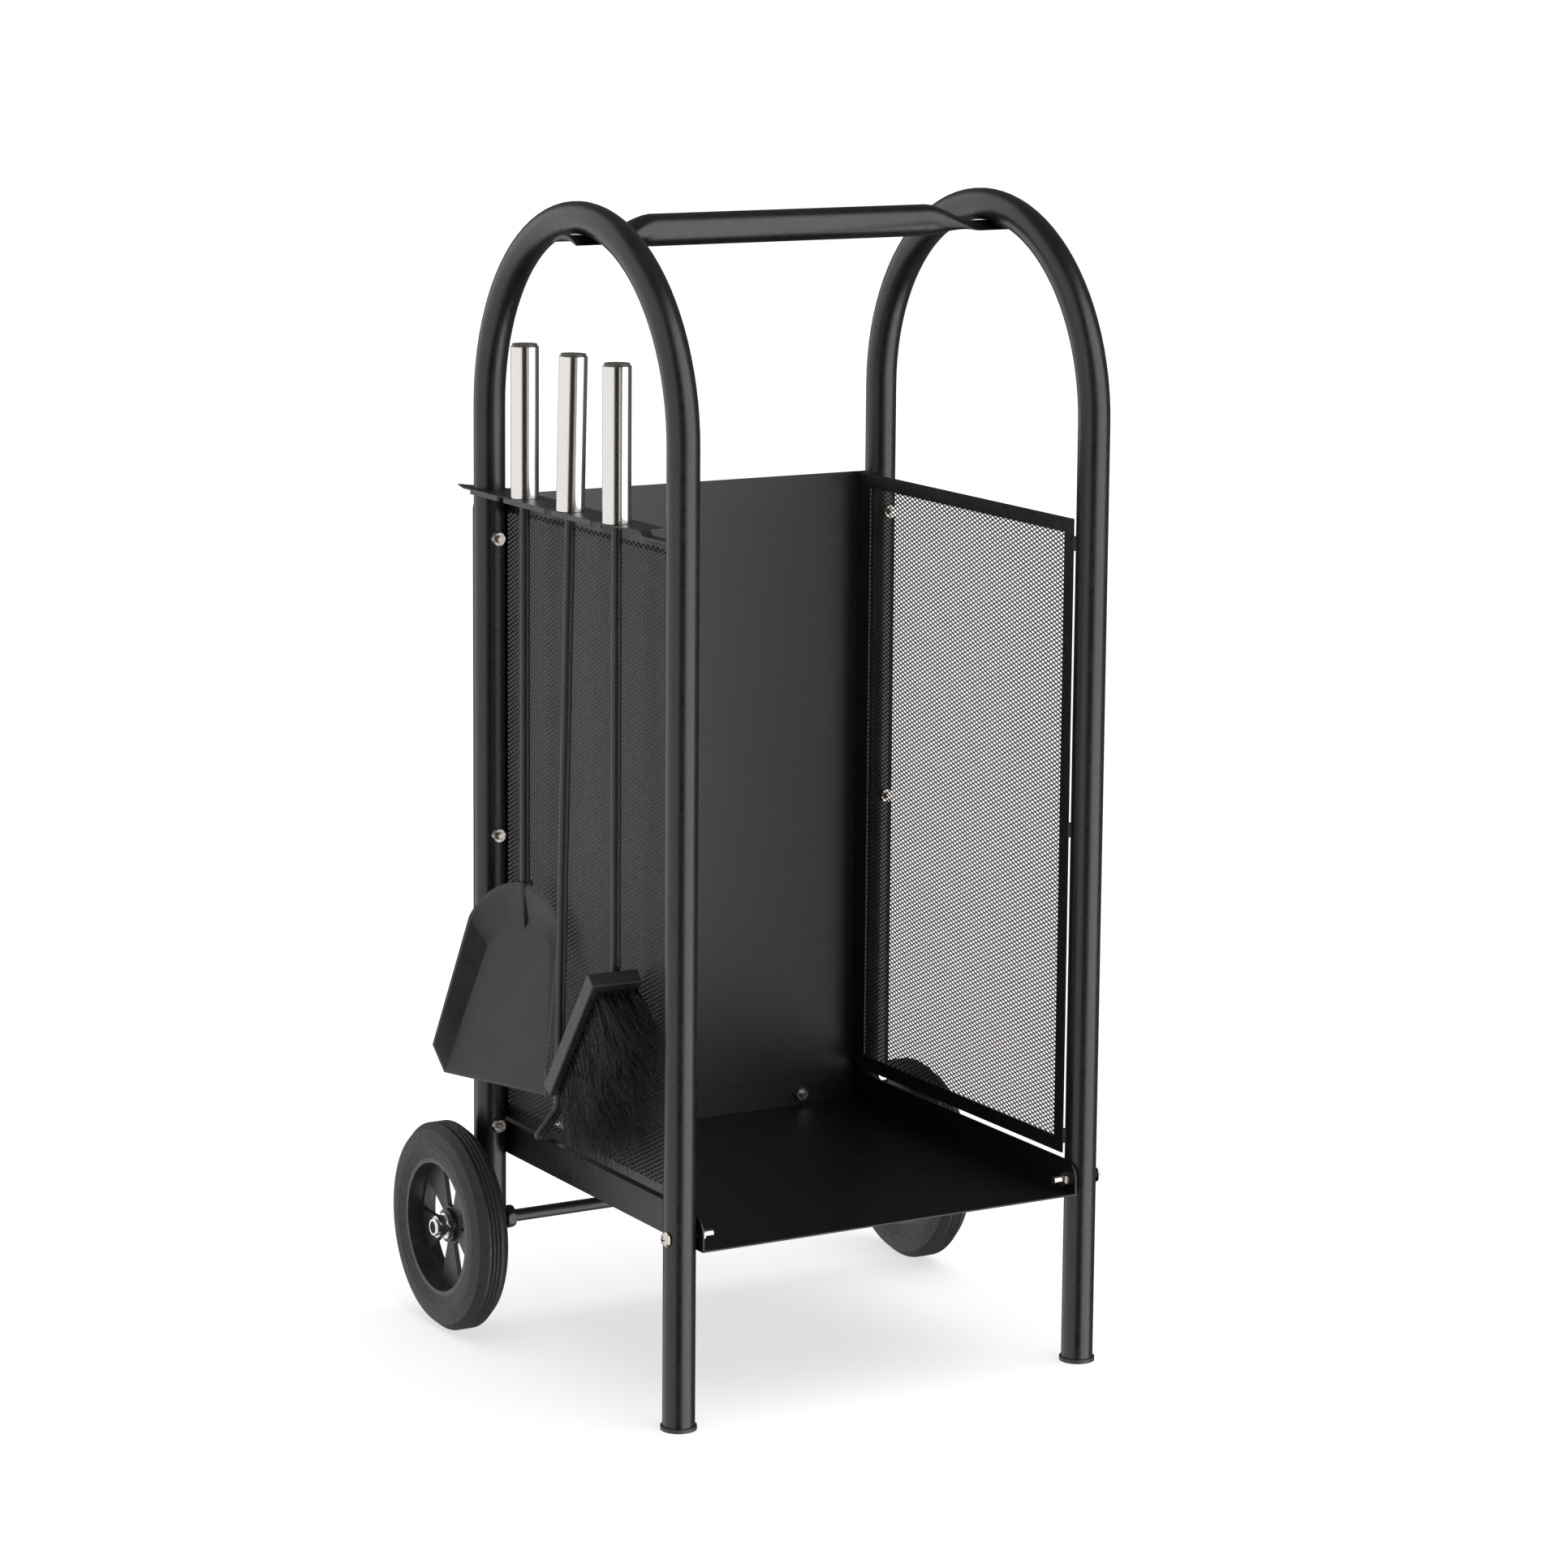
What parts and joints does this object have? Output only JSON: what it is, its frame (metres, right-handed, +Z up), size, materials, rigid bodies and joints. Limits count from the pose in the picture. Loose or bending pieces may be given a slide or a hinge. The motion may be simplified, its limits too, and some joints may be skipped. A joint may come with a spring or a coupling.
{
  "type": "firewood log rack",
  "caption": "Wheeled firewood rack: bent tube arches, mesh sides, sheet back and shelf, cross handle and a side rail holding a shovel, a poker and a brush.",
  "frame": {"origin": "on the floor, under the middle of the bounding box", "axes": "+Z up, +Y to the rear where the wheels are, +X to the right of someone facing the open front"},
  "size_m": [0.4756, 0.414, 0.916],
  "materials": {
    "tube_coat": "satin black powder coat",
    "sheet_coat": "satin black powder coat",
    "panel_coat": "satin black powder coat",
    "tray_coat": "satin black powder coat",
    "mesh_coat": "satin black powder coat",
    "cap_plastic": "moulded black plastic",
    "rim_plastic": "moulded black plastic",
    "tyre_rubber": "solid black rubber",
    "grip_steel": "brushed stainless steel",
    "grip_end": "dark moulded end cap",
    "brush_wood": "black stained wood",
    "bristle": "black bristle",
    "axle_black": "black oxide steel",
    "bright_zinc": "bright zinc plate",
    "zinc_screws": "zinc plate",
    "rod_coat": "satin black powder coat",
    "pan_coat": "satin black powder coat"
  },
  "bodies": {
    "frame": {"axle_inner_nuts": "axle_black", "axle_lock_nuts": "bright_zinc", "axle_rod": "axle_black", "axle_spacers": "axle_black", "axle_washers": "bright_zinc", "back_panel": "panel_coat", "back_panel_bolts": "zinc_screws", "back_panel_nuts": "zinc_screws", "handle_bar": "tube_coat", "handle_screws": "zinc_screws", "left_arch": "tube_coat", "left_foot_cap": "cap_plastic", "left_leg_plug": "cap_plastic", "left_mesh": "mesh_coat", "left_side_frame": "sheet_coat", "left_welds": "sheet_coat", "right_arch": "tube_coat", "right_foot_cap": "cap_plastic", "right_leg_plug": "cap_plastic", "right_mesh": "mesh_coat", "right_side_frame": "sheet_coat", "right_welds": "sheet_coat", "shelf_rear_bolts": "zinc_screws", "shelf_rear_nuts": "zinc_screws", "shelf_side_bolts": "zinc_screws", "shelf_side_nuts": "zinc_screws", "shelf_tray": "tray_coat", "tool_rail": "sheet_coat"},
    "left_wheel": {"left_rim": "rim_plastic", "left_tyre": "tyre_rubber"},
    "right_wheel": {"right_rim": "rim_plastic", "right_tyre": "tyre_rubber"},
    "shovel": {"shovel_grip": "grip_steel", "shovel_cap": "grip_end", "shovel_rod": "rod_coat", "shovel_pan": "pan_coat"},
    "poker": {"poker_grip": "grip_steel", "poker_cap": "grip_end", "poker_rod": "rod_coat"},
    "brush": {"brush_grip": "grip_steel", "brush_cap": "grip_end", "brush_rod": "rod_coat", "brush_head": "brush_wood", "brush_bristles": "bristle"}
  },
  "joints": [
    {"name": "left_wheel_spin", "type": "hinge", "parent": "frame", "child": "left_wheel", "pos_m": [-0.21073, 0.123, 0.084], "axis": [1, 0, 0], "continuous": true},
    {"name": "right_wheel_spin", "type": "hinge", "parent": "frame", "child": "right_wheel", "pos_m": [0.22227, 0.123, 0.084], "axis": [1, 0, 0], "continuous": true},
    {"name": "shovel_lift", "type": "slide", "parent": "frame", "child": "shovel", "axis": [0, 0, 1], "range_m": [0, 0.048]},
    {"name": "poker_lift", "type": "slide", "parent": "frame", "child": "poker", "axis": [0.0209, 0, 0.9998], "range_m": [0, 0.075]},
    {"name": "brush_lift", "type": "slide", "parent": "frame", "child": "brush", "axis": [0, 0, 1], "range_m": [0, 0.064]}
  ]
}
